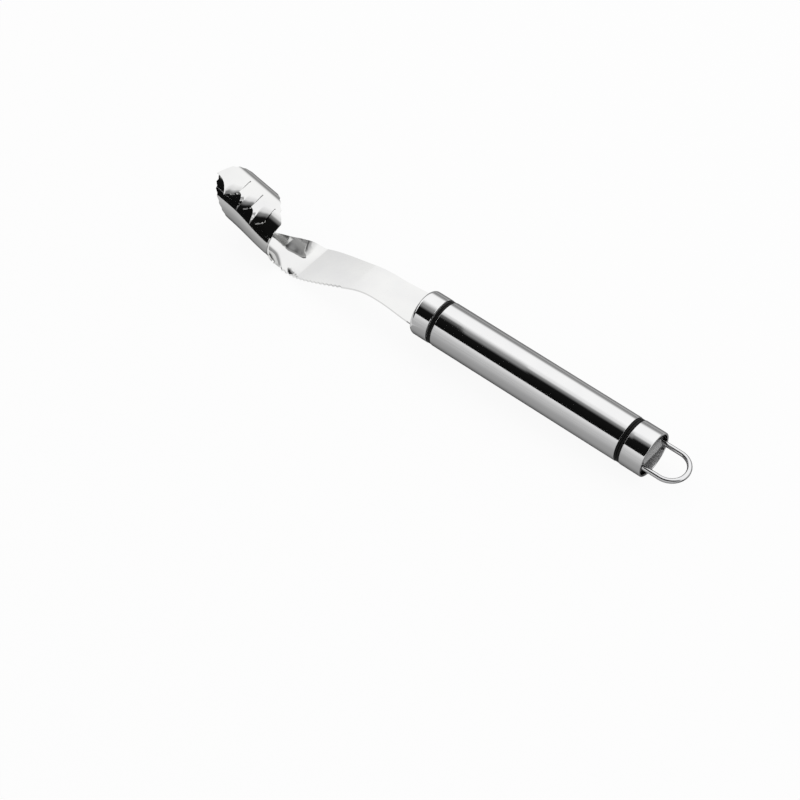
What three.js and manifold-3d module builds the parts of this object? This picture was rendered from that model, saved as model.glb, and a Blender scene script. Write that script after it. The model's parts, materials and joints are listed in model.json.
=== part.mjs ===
// Pepper corer: a toothed steel tube rolled on the end of a bent strip, in a round sleeve handle
// with a wire hanging loop. Millimetres.
// The tool is drawn with its handle axis along X, the tail at +X and the front of the handle at x = 0,
// the strip's upper face towards +Z and the head's far side towards +Y. It is then tilted to lie flat.

import * as THREE from 'three';
import { mergeVertices } from 'three/addons/utils/BufferGeometryUtils.js';
import Module from 'manifold-3d';

const wasm = await Module();
wasm.setup();

const degree = Math.PI / 180;
const { lerp: mix, smoothstep, clamp } = THREE.MathUtils;

// Clearances and facets
const seatGap = 0.25;
const runningGap = 0.12;
const turnedSides = 48;
const wireSides = 10;

// Handle
const handleRadius = 9;
const sleeveWall = 0.8;
const sleeveLength = 82;
const frontCapLength = 8.1;
const frontCapFillet = 1.6;
const rearCapLength = 9.1;
const rearRimFillet = 0.4;
const ringWidth = 2;
const ringRecess = 0.15;
const plugGrip = 18;

// Blade sheet and tang
const sheet = 0.8;
const tangShoulder = 4.3;
const tangLength = 27;
const tangHalfWidth = 5;
const tangPinRadius = 1.5;
const tangPinInset = 9;

// Neck strip: straight, bent down, straight, bent level at the place where the tool rests
const rootHalfWidth = 8;
const waistHalfWidth = 7;
const waistDistance = 15.3;
const neckHalfWidth = 9.6;
const flareStart = 19.3;
const flareEnd = 53.3;
const neckStraight = 17;
const neckDrop = 14.7;
const neckSlope = 22.5 * degree;
const upperBendRadius = 30;
const lowerBendRadius = 28;
const restLength = 2.7;

// Head: the strip rolled into a tube that points up from the neck.
// Places along it are counted from the throat, past the rest flat, and widths over the sheet from its middle.
const throatLength = 2.5;
const headTilt = 14.2 * degree;
const headBendRadius = 16;
const headRadius = 8.8;
const curlHalfWidth = 10;
const nearCurlStart = -14;
const nearCurlEnd = 1.5;
const foldStart = -15;
const foldFull = -7;
const foldEnd = 10;
const foldAngle = 22 * degree;
const foldRadius = 4.5;
const swellHeight = 1.5;
const swellTop = 2;
const swellEnd = 22;
const lapGrowth = 1.4;
const lapStart = 70 * degree;
const lapEnd = 160 * degree;
const nearStart = -5;
const nearLevel = -3;
const nearRise = 8;
const nearRiseStart = 14;
const nearRoot = 8.6;
const nearWrap = 25.8;
const nearHollow = 6;
const taperStart = -20;
const taperEnd = 7;
const taperHollow = 2.25;
const notchDepth = 16.2;
const notchHalfWidth = 3;
const slantStart = 16.3;
const farDrop = 18.5;
const farHollow = 1.1;
const tipLow = 20;
const tipRise = 13.4;
const tipTop = 199 * degree;

// Scraper teeth along the lapped edge, counted from the tip
const toothCount = 3;
const toothPitch = 7.35;
const toothHeight = 3.2;
const toothTip = 0.52;
const toothSet = 2.4;
const toothSetLow = 0.15;
const toothTwist = 0.6;
const firstSlit = 22.1;
const seamStart = 31.7;
const seamDrift = 1;
const slitLength = 5.6;
const slitLean = 0.5;
const slitWidth = 0.4;

// Fine serrations on the strip's near edge and the tube's two ends
const serrationPitch = 2.1;
const serrationDepth = 0.6;
const serratedStart = 33.3;

// Hanging loop and the lug that it turns in
const wireRadius = 0.95;
const loopSideGap = 0.45;
const loopReach = 14.6;
const loopCornerRadius = 1.3;
const loopInset = 2.6;
const pivotDepth = 2.6;
const lugWall = 1.1;
const recessDepth = 7.4;

// Stations along the handle
const frontRingX = frontCapLength;
const sleeveX = frontRingX + ringWidth;
const rearRingX = sleeveX + sleeveLength;
const rearCapX = rearRingX + ringWidth;
const tailX = rearCapX + rearCapLength;
const boreRadius = handleRadius - sleeveWall;
const plugRadius = boreRadius - seatGap;
const recessFloorX = tailX - recessDepth;
const pivotX = tailX - pivotDepth;
const loopHalfSpan = boreRadius - loopSideGap - wireRadius;

const steel = { color: 0xc9cacc, roughness: 0.22, metalness: 1 };
const black = { color: 0x111111, roughness: 0.5, metalness: 0 };
const core = { color: 0x6c6c6e, roughness: 0.6, metalness: 0 };

// A closed geometry as a solid that can be cut
function solid(geometry) {
  const bare = geometry.clone();
  bare.deleteAttribute('normal');
  bare.deleteAttribute('uv');
  const welded = mergeVertices(bare, 1e-4);
  const vertProperties = new Float32Array(welded.attributes.position.array);
  const triVerts = new Uint32Array(welded.index.array);
  return new wasm.Manifold(new wasm.Mesh({ numProp: 3, vertProperties, triVerts }));
}

// A cut solid as a geometry again
function geometryOf(manifold) {
  const { numProp, vertProperties, triVerts } = manifold.getMesh();
  const positions = new Float32Array((vertProperties.length / numProp) * 3);
  for (let i = 0; i < positions.length / 3; i++) {
    positions.set(vertProperties.subarray(i * numProp, i * numProp + 3), i * 3);
  }
  const geometry = new THREE.BufferGeometry();
  geometry.setAttribute('position', new THREE.BufferAttribute(positions, 3));
  geometry.setIndex(new THREE.BufferAttribute(new Uint32Array(triVerts), 1));
  geometry.computeVertexNormals();
  return geometry;
}

function cut(geometry, ...tools) {
  const result = tools.reduce((body, tool) => body.subtract(solid(tool)), solid(geometry));
  return geometryOf(result);
}

// A piece turned about the X axis from [x, radius] corners, with a flat facet straight down.
// Its facets touch the true radius.
function turned(profile) {
  const outset = 1 / Math.cos(Math.PI / turnedSides);
  const corners = profile.map(([x, radius]) => new THREE.Vector2(radius * outset, x));
  const geometry = new THREE.LatheGeometry(corners, turnedSides, Math.PI / turnedSides);
  return geometry.rotateZ(-Math.PI / 2);
}

// The [x, radius] corners of a quarter-round edge
function roundEdge(x, radius, fillet, fromAngle, steps = 5) {
  return Array.from({ length: steps + 1 }, (_, i) => {
    const angle = fromAngle + (i / steps) * (Math.PI / 2);
    return [x + fillet * Math.cos(angle), radius + fillet * Math.sin(angle)];
  });
}

function block(xLow, xHigh, halfY, halfZ) {
  const geometry = new THREE.BoxGeometry(xHigh - xLow, 2 * halfY, 2 * halfZ);
  return geometry.translate((xLow + xHigh) / 2, 0, 0);
}

function roundBar(radius, length) {
  return new THREE.CylinderGeometry(radius, radius, length, 24);
}

function mesh(name, geometry, look) {
  const result = new THREE.Mesh(geometry, new THREE.MeshStandardMaterial(look));
  result.name = name;
  return result;
}

// Centre line of the blade, as straight runs and bends in the XZ plane, from the handle to the tip.
// The heading is the angle above the -X direction.
const bendDrop = (radius, from, to) => radius * Math.abs(Math.cos(from) - Math.cos(to));
const bendRun = (radius, from, to) => radius * Math.abs(Math.sin(from) - Math.sin(to));
const steepRun = (tilt) => (neckDrop - bendDrop(upperBendRadius, 0, neckSlope)
  - bendDrop(lowerBendRadius, neckSlope, tilt)) / Math.sin(neckSlope);
const restTilt = restAngle();
const steepLength = steepRun(restTilt);
const spineRuns = [
  { length: neckStraight, turn: 0 },
  { length: upperBendRadius * neckSlope, turn: -neckSlope },
  { length: steepLength, turn: 0 },
  { length: lowerBendRadius * (neckSlope - restTilt), turn: neckSlope - restTilt },
  { length: restLength, turn: 0 },
  { length: headBendRadius * (headTilt + restTilt), turn: headTilt + restTilt },
  { length: 2 * (tipLow + tipRise), turn: 0 },
];
const headStation = spineRuns.slice(0, 5).reduce((sum, run) => sum + run.length, throatLength);

// The tilt at which the neck's flat and the rear cap lie on one plane, found in a few rounds
function restAngle() {
  let tilt = 0;
  for (let round = 0; round < 12; round++) {
    const flatX = -(neckStraight + bendRun(upperBendRadius, 0, neckSlope)
      + steepRun(tilt) * Math.cos(neckSlope) + bendRun(lowerBendRadius, neckSlope, tilt));
    const underX = flatX + (sheet / 2) * Math.sin(tilt);
    const underZ = -neckDrop - (sheet / 2) * Math.cos(tilt);
    tilt = Math.atan2(-handleRadius - underZ, tailX - rearRimFillet - underX);
  }
  return tilt;
}

// Place and heading of the centre line at a distance from the handle's front
function spineAt(station) {
  let [x, z, heading] = [0, 0, 0];
  let left = station;
  for (const { length, turn } of spineRuns) {
    const step = station < 0 ? station : Math.min(left, length);
    const angle = (turn * step) / length;
    const middle = heading + angle / 2;
    const chord = angle === 0 ? step : (2 * step / angle) * Math.sin(angle / 2);
    x -= chord * Math.cos(middle);
    z += chord * Math.sin(middle);
    heading += angle;
    left -= step;
    if (station < 0 || left <= 0) break;
  }
  return { x, z, heading };
}

// The cross section: a flat width, a curl of some radius and turn, its swell, and a flat width after it.
// The strip's far half is folded up along its middle. The far wall grows to lap over the near one, which is
// flat up to the throat, then curls and bulges at the tube's lower end.
function curlAt(reach, across) {
  const width = Math.abs(across);
  if (across > farWidth(headStation + reach) + 1e-6) {
    const turn = width / headRadius;
    const swell = lapGrowth * smoothstep(turn, lapStart, lapEnd);
    return { before: 0, radius: headRadius, turn, swell, after: 0 };
  }
  if (across > 0) {
    const radius = mix(foldRadius, headRadius, smoothstep(reach, 0, foldEnd));
    const turn = Math.min(width / radius, foldAngle * smoothstep(reach, foldStart, foldFull));
    return { before: 0, radius, turn, swell: 0, after: width - turn * radius };
  }
  const before = Math.min(width, curlHalfWidth * (1 - smoothstep(reach, nearCurlStart, nearCurlEnd)));
  const turn = (width - before) / headRadius;
  const bulge = smoothstep(reach, nearStart, swellTop) * (1 - smoothstep(reach, swellTop, swellEnd));
  return { before, radius: headRadius, turn, swell: swellHeight * bulge * Math.sin(turn) ** 4, after: 0 };
}

// A point of the sheet's middle surface and its inward normal.
// Reach is the place along the head, across the distance over the sheet, with the far side positive.
function sheetAt(reach, across) {
  const { x, z, heading } = spineAt(headStation + reach);
  const { before, radius, turn, swell, after } = curlAt(reach, across);
  const side = Math.sign(across);
  const y = side * (before + (radius + swell) * Math.sin(turn) + after * Math.cos(turn));
  const rise = radius - (radius + swell) * Math.cos(turn) + after * Math.sin(turn);
  const up = new THREE.Vector3(Math.sin(heading), 0, Math.cos(heading));
  const point = new THREE.Vector3(x, y, z).addScaledVector(up, rise);
  const normal = up.clone().multiplyScalar(Math.cos(turn));
  normal.y = -side * Math.sin(turn);
  return { point, normal };
}

// Edges of the flat blank, as reach or width
const tipEdge = (across) => tipLow + tipRise * ((1 + Math.cos(across / headRadius - tipTop)) / 2) ** 2;

// The far wall's lower edge leaves the notch level, then slants down to the lapped edge's low corner
function farEdge(across) {
  const share = (across - slantStart) / (seamAt(toothCount) - slantStart);
  return notchDepth - farDrop * clamp(share, 0, 1) ** farHollow;
}

// The near wall's lower edge leaves the strip in a hollow sweep, runs level, then rises under the lap
function nearEdge(across) {
  const share = (-across - nearRoot) / (nearWrap - nearRoot);
  const sweep = mix(nearStart, nearLevel, 1 - (1 - share) ** nearHollow);
  return sweep + nearRise * smoothstep(-across, nearRiseStart, nearWrap);
}

function flaredWidth(station) {
  const waist = mix(rootHalfWidth, waistHalfWidth, smoothstep(station, 0, waistDistance));
  return waist + (neckHalfWidth - waistHalfWidth) * smoothstep(station, flareStart, flareEnd);
}

function nearWidth(station) {
  return mix(flaredWidth(station), nearRoot, smoothstep(station, flareEnd, headStation + nearStart));
}

function farWidth(station) {
  const taper = (station - headStation - taperStart) / (taperEnd - taperStart);
  return mix(flaredWidth(station), notchHalfWidth, clamp(taper, 0, 1) ** taperHollow);
}

const evenSteps = (count) => Array.from({ length: count + 1 }, (_, i) => i / count);
const even = (span) => 2 * Math.max(1, Math.round(span / serrationPitch));
const nick = (place) => serrationDepth * (1 - Math.abs((place % 2) - 1));

// Slits below the teeth: where each one ends in the sheet, and its mouth at the lapped edge
const seamAt = (index) => seamStart + index * seamDrift;
const slits = Array.from({ length: toothCount }, (_, i) => ({
  mouth: [firstSlit - i * toothPitch, seamAt(i)],
  end: [firstSlit - i * toothPitch + slitLean, seamAt(i) - slitLength],
}));

// Flaps of the lapped edge from the lower end to the tip: a plain one, then the teeth, with slits between.
// Each has a low and a high side, with its root in the wall and its mouth at the free edge.
function flaps() {
  const shifted = ([reach, across], step) => [reach + step, across];
  const onFarEdge = (across) => [farEdge(across), across];
  const onTipEdge = (across) => [tipEdge(across), across];
  const lowMouth = seamAt(toothCount);
  const tipMouth = seamAt(0);
  const sides = [
    { root: onFarEdge(lowMouth - slitLength), mouth: onFarEdge(lowMouth) },
    ...slits.toReversed(),
    { root: onTipEdge(tipMouth - slitLength), mouth: onTipEdge(tipMouth) },
  ];
  const rootOf = (side) => side.root ?? side.end;
  return sides.slice(0, -1).map((low, i) => {
    const high = sides[i + 1];
    const below = i > 0 ? slitWidth / 2 : 0;
    const above = i + 2 < sides.length ? -slitWidth / 2 : 0;
    return {
      lowRoot: shifted(rootOf(low), below),
      lowMouth: shifted(low.mouth, below),
      highRoot: shifted(rootOf(high), above),
      highMouth: shifted(high.mouth, above),
      point: i > 0 ? [low.mouth[0] + toothTip * toothPitch, low.mouth[1] + toothHeight] : null,
    };
  });
}

// A flap's free edge: straight from its low mouth up to its point, then hollow down to its high mouth
function flapEdge({ lowMouth, highMouth, point }, share) {
  if (!point) return [mix(lowMouth[0], highMouth[0], share), mix(lowMouth[1], highMouth[1], share)];
  if (share <= toothTip) {
    const part = share / toothTip;
    return [mix(lowMouth[0], point[0], part), mix(lowMouth[1], point[1], part)];
  }
  const part = (share - toothTip) / (1 - toothTip);
  return [mix(point[0], highMouth[0], part), mix(highMouth[1], point[1], (1 - part) ** 3)];
}

// Quads of the blade's middle surface, each corner as [reach, across, lift outwards]
function bladeQuads() {
  const quads = [];
  const grid = (rows, columns, corner) => {
    for (let i = 0; i < rows; i++) {
      for (let j = 0; j < columns; j++) {
        quads.push([corner(i, j), corner(i + 1, j), corner(i + 1, j + 1), corner(i, j + 1)]);
      }
    }
  };
  const lapped = flaps();
  const shares = [0, toothTip / 4, toothTip / 2, toothTip, mix(toothTip, 1, 0.4), 1];
  const base = lapped.flatMap(({ lowRoot, highRoot }) => shares.map((share) => [
    mix(lowRoot[0], highRoot[0], share), mix(lowRoot[1], highRoot[1], share)]));
  const spread = base.map(([reach]) => (reach - base[0][0]) / (base.at(-1)[0] - base[0][0]));
  const headRows = base.length - 1;
  const nearHalf = even(nearRoot);
  const farHalf = 2 * even(notchHalfWidth);
  const bottomColumns = nearHalf + farHalf;
  const bottomAt = (near, far, j) => (j < nearHalf
    ? mix(near, 0, j / nearHalf)
    : mix(0, far, (j - nearHalf) / farHalf));
  const nearColumns = even(nearWrap - nearRoot);
  const farColumns = even(base[0][1] - notchHalfWidth);

  // Strip, from the tang's end to the near wall, with its serrated stretch
  const tangEnd = -(tangShoulder + tangLength);
  const stations = [tangEnd, -tangShoulder - 1, 0, neckStraight / 2];
  for (let station = neckStraight; station < serratedStart - 2; station += 4) stations.push(station);
  const plainCount = stations.length;
  const throat = headStation + nearStart;
  const serratedCount = even(throat - serratedStart);
  stations.push(...evenSteps(serratedCount).map((share) => mix(serratedStart, throat, share)));
  const stripNick = (i) => (i > plainCount && i < stations.length - 1 ? nick(i - plainCount) : 0);
  grid(stations.length - 1, bottomColumns, (i, j) => {
    const station = Math.max(0, stations[i]);
    const near = stripNick(i) - nearWidth(station);
    return [stations[i] - headStation, bottomAt(near, farWidth(station), j), 0];
  });

  // Floor of the tube up to the notch, then past it
  const floor = [nearStart, ...evenSteps(2).map((share) => mix(-throatLength, 0, share)),
    ...[1 / 3, 2 / 3, 1].map((share) => taperEnd * share),
    ...[1 / 3, 2 / 3, 1].map((share) => mix(taperEnd, notchDepth, share))];
  const floorRows = floor.length - 1;
  grid(floorRows, bottomColumns, (i, j) => {
    return [floor[i], bottomAt(-nearRoot, farWidth(headStation + floor[i]), j), 0];
  });
  grid(headRows, bottomColumns, (i, j) => {
    const across = bottomAt(-nearRoot, notchHalfWidth, j);
    return [mix(notchDepth, tipEdge(across) - nick(j), spread[i]), across, 0];
  });

  // Near wall, from the strip's near edge up to its hidden edge under the teeth
  const rootTip = tipEdge(-nearRoot);
  grid(floorRows + headRows, nearColumns, (i, j) => {
    const across = mix(-nearRoot, -nearWrap, j / nearColumns);
    const reach = i < floorRows ? floor[i] : mix(notchDepth, rootTip, spread[i - floorRows]);
    const share = (reach - nearStart) / (rootTip - nearStart);
    return [mix(nearEdge(across) + nick(j), tipEdge(across) - nick(j), share), across, 0];
  });

  // Far wall, from the notch round to the ends of the slits
  const rootSpread = base.map(([reach, across]) => {
    const low = farEdge(across);
    return (reach - low) / (tipEdge(across) - low);
  });
  const wallAt = (i, j) => {
    const share = j / farColumns;
    const across = mix(notchHalfWidth, base[i][1], share);
    const low = farEdge(across) + nick(j);
    const high = tipEdge(across) - nick(j);
    return [mix(low, high, mix(spread[i], rootSpread[i], share)), across, 0];
  };
  grid(headRows, farColumns, wallAt);

  // Flaps, from the ends of the slits to the lapped edge, the teeth set outwards most on their tip side
  const flapColumns = 3;
  lapped.forEach((flap, index) => {
    const firstRow = index * shares.length;
    grid(shares.length - 1, flapColumns, (i, j) => {
      const share = j / flapColumns;
      const root = wallAt(firstRow + i, farColumns);
      const edge = flapEdge(flap, shares[i]);
      const twist = smoothstep(shares[i], 0, toothTwist);
      const set = index > 0 ? toothSet * mix(toothSetLow, 1, twist) : 0;
      return [mix(root[0], edge[0], share), mix(root[1], edge[1], share), set * share ** 2];
    });
  });
  return quads;
}

// A closed sheet of the given thickness on both sides of the quads
function thickened(quads, thickness) {
  const positions = [];
  const triangles = [];
  const known = new Map();
  const edges = new Map();
  const vertexOf = ([reach, across, lift]) => {
    const key = `${reach.toFixed(3)} ${across.toFixed(3)}`;
    if (!known.has(key)) {
      const { point, normal } = sheetAt(reach, across);
      known.set(key, positions.length / 6);
      const inner = point.clone().addScaledVector(normal, thickness / 2 - lift);
      const outer = point.clone().addScaledVector(normal, -thickness / 2 - lift);
      positions.push(...inner.toArray(), ...outer.toArray());
    }
    return known.get(key);
  };
  const area = (corners) => corners.reduce((sum, [reach, across], i) => {
    const [nextReach, nextAcross] = corners[(i + 1) % corners.length];
    return sum + reach * nextAcross - nextReach * across;
  }, 0);
  for (const corners of quads) {
    const ordered = area(corners) < 0 ? corners : [...corners].reverse();
    const [a, b, c, d] = ordered.map(vertexOf);
    triangles.push(2 * a, 2 * b, 2 * c, 2 * a, 2 * c, 2 * d);
    triangles.push(2 * a + 1, 2 * c + 1, 2 * b + 1, 2 * a + 1, 2 * d + 1, 2 * c + 1);
    for (const [from, to] of [[a, b], [b, c], [c, d], [d, a]]) {
      const opposite = `${to} ${from}`;
      if (edges.has(opposite)) edges.delete(opposite);
      else edges.set(`${from} ${to}`, [from, to]);
    }
  }
  for (const [from, to] of edges.values()) {
    triangles.push(2 * from, 2 * from + 1, 2 * to + 1, 2 * from, 2 * to + 1, 2 * to);
  }
  const geometry = new THREE.BufferGeometry();
  geometry.setAttribute('position', new THREE.Float32BufferAttribute(positions, 3));
  geometry.setIndex(triangles);
  return geometry;
}

const tangPinX = tangShoulder + tangLength - tangPinInset;

function corerBlade() {
  const beside = rootHalfWidth + 1;
  const shoulderHalf = (beside - tangHalfWidth) / 2;
  const shoulder = (side) => block(tangShoulder, tangShoulder + tangLength + 1, shoulderHalf, sheet)
    .translate(0, (side * (beside + tangHalfWidth)) / 2, 0);
  const pinHole = roundBar(tangPinRadius + runningGap, 4 * sheet)
    .rotateX(Math.PI / 2)
    .translate(tangPinX, 0, 0);
  return cut(thickened(bladeQuads(), sheet), shoulder(1), shoulder(-1), pinHole);
}

function frontCap() {
  const inside = frontCapFillet - sleeveWall;
  const profile = [
    [frontCapLength - seatGap, boreRadius],
    [frontCapLength - seatGap, handleRadius],
    ...roundEdge(frontCapFillet, handleRadius - frontCapFillet, frontCapFillet, Math.PI / 2),
    [0, 0],
    [sleeveWall, 0],
    ...roundEdge(frontCapFillet, boreRadius - inside, inside, Math.PI / 2).reverse(),
    [frontCapLength - seatGap, boreRadius],
  ];
  const slot = block(-1, frontCapFillet + seatGap, rootHalfWidth + seatGap, sheet / 2 + seatGap);
  return cut(turned(profile.reverse()), slot);
}

function ring(x) {
  const outer = handleRadius - ringRecess;
  const low = x + seatGap / 2;
  const high = x + ringWidth - seatGap / 2;
  return turned([[low, boreRadius], [low, outer], [high, outer], [high, boreRadius], [low, boreRadius]]);
}

function sleeve() {
  const low = sleeveX;
  const high = sleeveX + sleeveLength;
  return turned([
    [low, boreRadius], [low, handleRadius], [high, handleRadius], [high, boreRadius], [low, boreRadius],
  ]);
}

function rearCap() {
  const rim = handleRadius - rearRimFillet;
  const low = rearCapX + seatGap;
  return turned([
    [low, boreRadius],
    [low, handleRadius],
    ...roundEdge(tailX - rearRimFillet, rim, rearRimFillet, 0, 2).reverse(),
    [tailX, boreRadius],
    [low, boreRadius],
  ]);
}

// Plug in the front of the sleeve, slotted for the tang and bored for its pin
function frontPlug() {
  const low = tangShoulder + seatGap;
  const high = sleeveX + plugGrip + tangPinInset / 2;
  const slotEnd = tangShoulder + tangLength + seatGap;
  const slot = block(low - 1, slotEnd, tangHalfWidth + seatGap, sheet / 2 + seatGap);
  const pinBore = roundBar(tangPinRadius + runningGap, 3 * plugRadius)
    .rotateX(Math.PI / 2)
    .translate(tangPinX, 0, 0);
  const body = turned([[low, 0], [low, plugRadius], [high, plugRadius], [high, 0]]);
  return cut(body, slot, pinBore);
}

function tangPin() {
  return roundBar(tangPinRadius, 2 * plugRadius - 2 * seatGap).rotateX(Math.PI / 2).translate(tangPinX, 0, 0);
}

const lugRadius = wireRadius + runningGap + lugWall;
const lugHalfWidth = loopHalfSpan - wireRadius - seatGap;

// Plug in the tail, with a round-ended lug in the recess that is bored for the loop's ends
function rearPlug() {
  const low = rearRingX - plugGrip;
  const body = turned([[low, 0], [low, plugRadius], [recessFloorX, plugRadius], [recessFloorX, 0]]);
  const lugShape = new THREE.Shape();
  lugShape.moveTo(recessFloorX - 1, -lugRadius);
  lugShape.lineTo(pivotX, -lugRadius);
  lugShape.absarc(pivotX, 0, lugRadius, -Math.PI / 2, Math.PI / 2, false);
  lugShape.lineTo(recessFloorX - 1, lugRadius);
  const lugDepth = { depth: 2 * lugHalfWidth, bevelEnabled: false, curveSegments: 8 };
  const lug = new THREE.ExtrudeGeometry(lugShape, lugDepth);
  lug.translate(0, 0, -lugHalfWidth).rotateX(Math.PI / 2);
  const lugBore = (wireRadius + runningGap) / Math.cos(Math.PI / 24);
  const bore = roundBar(lugBore, 3 * lugHalfWidth).translate(pivotX, 0, 0);
  return geometryOf(solid(body).add(solid(lug)).subtract(solid(bore)));
}

// One bent wire: its ends turn inwards into the lug, its legs run out past the rim to a round end
function hangingLoop() {
  const path = new THREE.CurvePath();
  const corner = loopCornerRadius;
  const endX = tailX + loopReach - wireRadius - loopHalfSpan;
  const at = (x, y) => new THREE.Vector3(x, y, 0);
  const straight = (from, to) => path.add(new THREE.LineCurve3(from, to));
  const bend = (from, middle, to) => path.add(new THREE.QuadraticBezierCurve3(from, middle, to));
  straight(at(pivotX, -loopInset), at(pivotX, corner - loopHalfSpan));
  bend(at(pivotX, corner - loopHalfSpan), at(pivotX, -loopHalfSpan), at(pivotX + corner, -loopHalfSpan));
  straight(at(pivotX + corner, -loopHalfSpan), at(endX, -loopHalfSpan));
  const steps = 10;
  const around = (i) => {
    const angle = -Math.PI / 2 + (Math.PI * i) / steps;
    return at(endX + loopHalfSpan * Math.cos(angle), loopHalfSpan * Math.sin(angle));
  };
  for (let i = 0; i < steps; i++) straight(around(i), around(i + 1));
  straight(at(endX, loopHalfSpan), at(pivotX + corner, loopHalfSpan));
  bend(at(pivotX + corner, loopHalfSpan), at(pivotX, loopHalfSpan), at(pivotX, loopHalfSpan - corner));
  straight(at(pivotX, loopHalfSpan - corner), at(pivotX, loopInset));
  const section = new THREE.Shape();
  section.absarc(0, 0, wireRadius, 0, 2 * Math.PI, false);
  return new THREE.ExtrudeGeometry(section, { steps: 44, extrudePath: path, curveSegments: wireSides });
}

const tool = new THREE.Group();
tool.add(
  mesh('corer_blade', corerBlade(), steel),
  mesh('front_cap', frontCap(), steel),
  mesh('front_ring', ring(frontRingX), black),
  mesh('handle_sleeve', sleeve(), steel),
  mesh('rear_ring', ring(rearRingX), black),
  mesh('rear_cap', rearCap(), steel),
  mesh('front_plug', frontPlug(), core),
  mesh('tang_pin', tangPin(), steel),
  mesh('rear_plug', rearPlug(), core),
  mesh('hanging_loop', hangingLoop(), steel),
);

// Lie the tool on its neck flat and rear cap, with the middle of its base at the origin
tool.rotation.y = restTilt;
const lying = new THREE.Group();
lying.add(tool);
lying.updateMatrixWorld(true);
const extent = new THREE.Box3().setFromObject(lying, true);
const middle = extent.getCenter(new THREE.Vector3());
tool.position.set(-middle.x, -middle.y, -extent.min.z);

export default lying;
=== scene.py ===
"""Pepper corer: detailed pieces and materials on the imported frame, in a white studio with dark flags."""

import json
import math

import bmesh
import bpy
from mathutils import Matrix, Vector


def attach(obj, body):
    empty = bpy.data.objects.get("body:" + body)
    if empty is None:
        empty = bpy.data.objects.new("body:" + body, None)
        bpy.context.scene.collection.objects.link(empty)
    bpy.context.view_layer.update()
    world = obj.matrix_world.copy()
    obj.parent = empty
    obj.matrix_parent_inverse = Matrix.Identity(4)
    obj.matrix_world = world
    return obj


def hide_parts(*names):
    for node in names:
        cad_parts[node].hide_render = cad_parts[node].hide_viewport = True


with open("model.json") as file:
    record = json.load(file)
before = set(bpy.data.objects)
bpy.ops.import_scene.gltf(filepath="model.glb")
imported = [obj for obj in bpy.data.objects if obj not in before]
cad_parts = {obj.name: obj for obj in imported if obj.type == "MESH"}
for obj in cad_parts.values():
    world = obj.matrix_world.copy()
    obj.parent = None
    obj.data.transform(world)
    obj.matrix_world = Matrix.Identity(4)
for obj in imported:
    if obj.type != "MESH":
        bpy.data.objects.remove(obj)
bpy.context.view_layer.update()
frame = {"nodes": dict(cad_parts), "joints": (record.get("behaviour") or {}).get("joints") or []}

MM = 0.001
QUARTER = math.pi / 2
TINY = 1e-6

# Sizes in millimetres, in the tool's own frame: handle axis along X, tail at +X, handle front at x = 0
SEAT_GAP = 0.25
HANDLE_RADIUS = 9.0
SLEEVE_WALL = 0.8
SLEEVE_LENGTH = 82.0
FRONT_CAP_LENGTH = 8.1
FRONT_CAP_FILLET = 1.6
REAR_CAP_LENGTH = 9.1
REAR_RIM_FILLET = 0.4
RING_WIDTH = 2.0
RING_RECESS = 0.15
PLUG_GRIP = 18.0

SHEET = 0.8
TANG_SHOULDER = 4.3
TANG_LENGTH = 27.0
TANG_HALF_WIDTH = 5.0

ROOT_HALF_WIDTH = 8.0
WAIST_HALF_WIDTH = 7.0
WAIST_DISTANCE = 15.3
NECK_HALF_WIDTH = 9.6
FLARE_START = 19.3
FLARE_END = 53.3
NECK_STRAIGHT = 17.0
NECK_DROP = 14.7
NECK_SLOPE = math.radians(22.5)
UPPER_BEND_RADIUS = 30.0
LOWER_BEND_RADIUS = 28.0
REST_LENGTH = 2.7

THROAT_LENGTH = 2.5
HEAD_TILT = math.radians(14.2)
HEAD_BEND_RADIUS = 16.0
HEAD_RADIUS = 8.8
CURL_HALF_WIDTH = 10.0
NEAR_CURL_START = -14.0
NEAR_CURL_END = 1.5
FOLD_START = -15.0
FOLD_FULL = -7.0
FOLD_END = 10.0
FOLD_ANGLE = math.radians(22)
FOLD_RADIUS = 4.5
SWELL_HEIGHT = 1.5
SWELL_TOP = 2.0
SWELL_END = 22.0
LAP_GROWTH = 1.4
LAP_START = math.radians(70)
LAP_END = math.radians(160)
NEAR_START = -5.0
NEAR_LEVEL = -3.0
NEAR_RISE = 8.0
NEAR_RISE_START = 14.0
NEAR_ROOT = 8.6
NEAR_WRAP = 25.8
NEAR_HOLLOW = 6
TAPER_START = -20.0
TAPER_END = 7.0
TAPER_HOLLOW = 2.25
NOTCH_DEPTH = 16.2
NOTCH_HALF_WIDTH = 3.0
SLANT_START = 16.3
FAR_DROP = 18.5
FAR_HOLLOW = 1.1
TIP_LOW = 20.0
TIP_RISE = 13.4
TIP_TOP = math.radians(199)

TOOTH_COUNT = 3
TOOTH_PITCH = 7.35
TOOTH_HEIGHT = 3.2
TOOTH_TIP = 0.52
TOOTH_SET = 2.4
TOOTH_SET_LOW = 0.15
TOOTH_TWIST = 0.6
FIRST_SLIT = 22.1
SEAM_START = 31.7
SEAM_DRIFT = 1.0
SLIT_LENGTH = 5.6
SLIT_LEAN = 0.5
SLIT_WIDTH = 0.4

SERRATION_PITCH = 2.1
SERRATION_DEPTH = 0.6
SERRATED_START = 33.3

WIRE_RADIUS = 0.95
LOOP_SIDE_GAP = 0.45
LOOP_REACH = 14.6
LOOP_CORNER_RADIUS = 1.3
LOOP_INSET = 2.6
PIVOT_DEPTH = 2.6
RUNNING_GAP = 0.12
LUG_WALL = 1.1
RECESS_DEPTH = 7.4

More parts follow.
